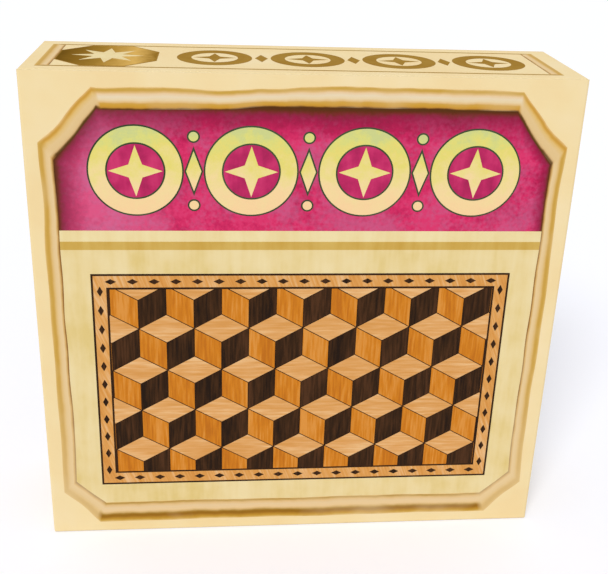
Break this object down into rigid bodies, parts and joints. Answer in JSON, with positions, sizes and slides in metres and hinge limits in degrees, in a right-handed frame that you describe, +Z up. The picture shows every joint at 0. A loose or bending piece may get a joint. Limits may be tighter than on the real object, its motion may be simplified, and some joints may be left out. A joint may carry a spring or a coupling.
{
  "type": "boxed four in a row game",
  "caption": "Upright tuck-top board carton holding a wooden four in a row game: a posted base with two-tone blocks that slide up and down between the posts.",
  "frame": {"origin": "middle of the closed carton's foot, on the surface that it stands on", "axes": "+Z up, +X to the right along the carton's width, -Y out of the printed front"},
  "size_m": [0.2, 0.054, 0.1922],
  "materials": {
    "printed_board": "printed, satin",
    "paper": "uncoated",
    "natural_wood": "satin lacquer",
    "light_wood": "satin lacquer",
    "dark_wood": "stained, satin lacquer"
  },
  "bodies": {
    "root": {"carton_sleeve": "printed_board", "bottom_outer_flap": "printed_board", "bottom_inner_flap": "printed_board", "bottom_dust_flap_left": "printed_board", "bottom_dust_flap_right": "printed_board", "rules_sheet": "paper", "game_base": "natural_wood", "post_1": "natural_wood", "post_2": "natural_wood", "post_3": "natural_wood", "post_4": "natural_wood", "post_5": "natural_wood", "post_6": "natural_wood", "post_7": "natural_wood"},
    "lid": {"carton_lid": "printed_board"},
    "tuck_flap": {"tuck_flap": "printed_board"},
    "dust_flap_left": {"dust_flap_left": "printed_board"},
    "dust_flap_right": {"dust_flap_right": "printed_board"},
    "column_1": {"block_c1_r1_light": "light_wood", "block_c1_r2_dark": "dark_wood", "block_c1_r3_dark": "dark_wood", "block_c1_r4_light": "light_wood", "block_c1_r5_dark": "dark_wood", "block_c1_r6_light": "light_wood", "block_c1_r7_dark": "dark_wood"},
    "column_2": {"block_c2_r1_dark": "dark_wood", "block_c2_r2_light": "light_wood", "block_c2_r3_light": "light_wood", "block_c2_r4_light": "light_wood", "block_c2_r5_light": "light_wood", "block_c2_r6_dark": "dark_wood", "block_c2_r7_light": "light_wood"},
    "column_3": {"block_c3_r1_light": "light_wood", "block_c3_r2_dark": "dark_wood", "block_c3_r3_light": "light_wood", "block_c3_r4_dark": "dark_wood", "block_c3_r5_dark": "dark_wood", "block_c3_r6_light": "light_wood", "block_c3_r7_dark": "dark_wood"},
    "column_4": {"block_c4_r1_dark": "dark_wood", "block_c4_r2_light": "light_wood", "block_c4_r3_dark": "dark_wood", "block_c4_r4_dark": "dark_wood", "block_c4_r5_dark": "dark_wood", "block_c4_r6_dark": "dark_wood", "block_c4_r7_light": "light_wood"},
    "column_5": {"block_c5_r1_light": "light_wood", "block_c5_r2_dark": "dark_wood", "block_c5_r3_light": "light_wood", "block_c5_r4_dark": "dark_wood", "block_c5_r5_light": "light_wood", "block_c5_r6_light": "light_wood", "block_c5_r7_dark": "dark_wood"},
    "column_6": {"block_c6_r1_dark": "dark_wood", "block_c6_r2_light": "light_wood", "block_c6_r3_light": "light_wood", "block_c6_r4_light": "light_wood", "block_c6_r5_dark": "dark_wood", "block_c6_r6_dark": "dark_wood", "block_c6_r7_light": "light_wood"}
  },
  "joints": [
    {"name": "lid_hinge", "type": "hinge", "parent": "root", "child": "lid", "pos_m": [0, 0.027, 0.19216], "axis": [-1, 0, 0], "range_deg": [0, 260]},
    {"name": "tuck_flap_hinge", "type": "hinge", "parent": "lid", "child": "tuck_flap", "pos_m": [0, -0.0257, 0.19216], "axis": [-1, 0, 0], "range_deg": [0, 78]},
    {"name": "dust_flap_left_hinge", "type": "hinge", "parent": "root", "child": "dust_flap_left", "pos_m": [-0.1, 0, 0.19114], "axis": [0, -1, 0], "range_deg": [0, 117]},
    {"name": "dust_flap_right_hinge", "type": "hinge", "parent": "root", "child": "dust_flap_right", "pos_m": [0.1, 0, 0.19114], "axis": [0, 1, 0], "range_deg": [0, 117]},
    {"name": "column_1_lift", "type": "slide", "parent": "root", "child": "column_1", "axis": [0, 0, 1], "range_m": [0, 0.01]},
    {"name": "column_2_lift", "type": "slide", "parent": "root", "child": "column_2", "axis": [0, 0, 1], "range_m": [0, 0.01]},
    {"name": "column_3_lift", "type": "slide", "parent": "root", "child": "column_3", "axis": [0, 0, 1], "range_m": [0, 0.01]},
    {"name": "column_4_lift", "type": "slide", "parent": "root", "child": "column_4", "axis": [0, 0, 1], "range_m": [0, 0.01]},
    {"name": "column_5_lift", "type": "slide", "parent": "root", "child": "column_5", "axis": [0, 0, 1], "range_m": [0, 0.01]},
    {"name": "column_6_lift", "type": "slide", "parent": "root", "child": "column_6", "axis": [0, 0, 1], "range_m": [0, 0.01]}
  ],
  "couplings": [
    {"joint": "tuck_flap_hinge", "follows": "lid_hinge", "ratio": 0.3},
    {"joint": "dust_flap_left_hinge", "follows": "lid_hinge", "ratio": 0.45},
    {"joint": "dust_flap_right_hinge", "follows": "lid_hinge", "ratio": 0.45}
  ]
}
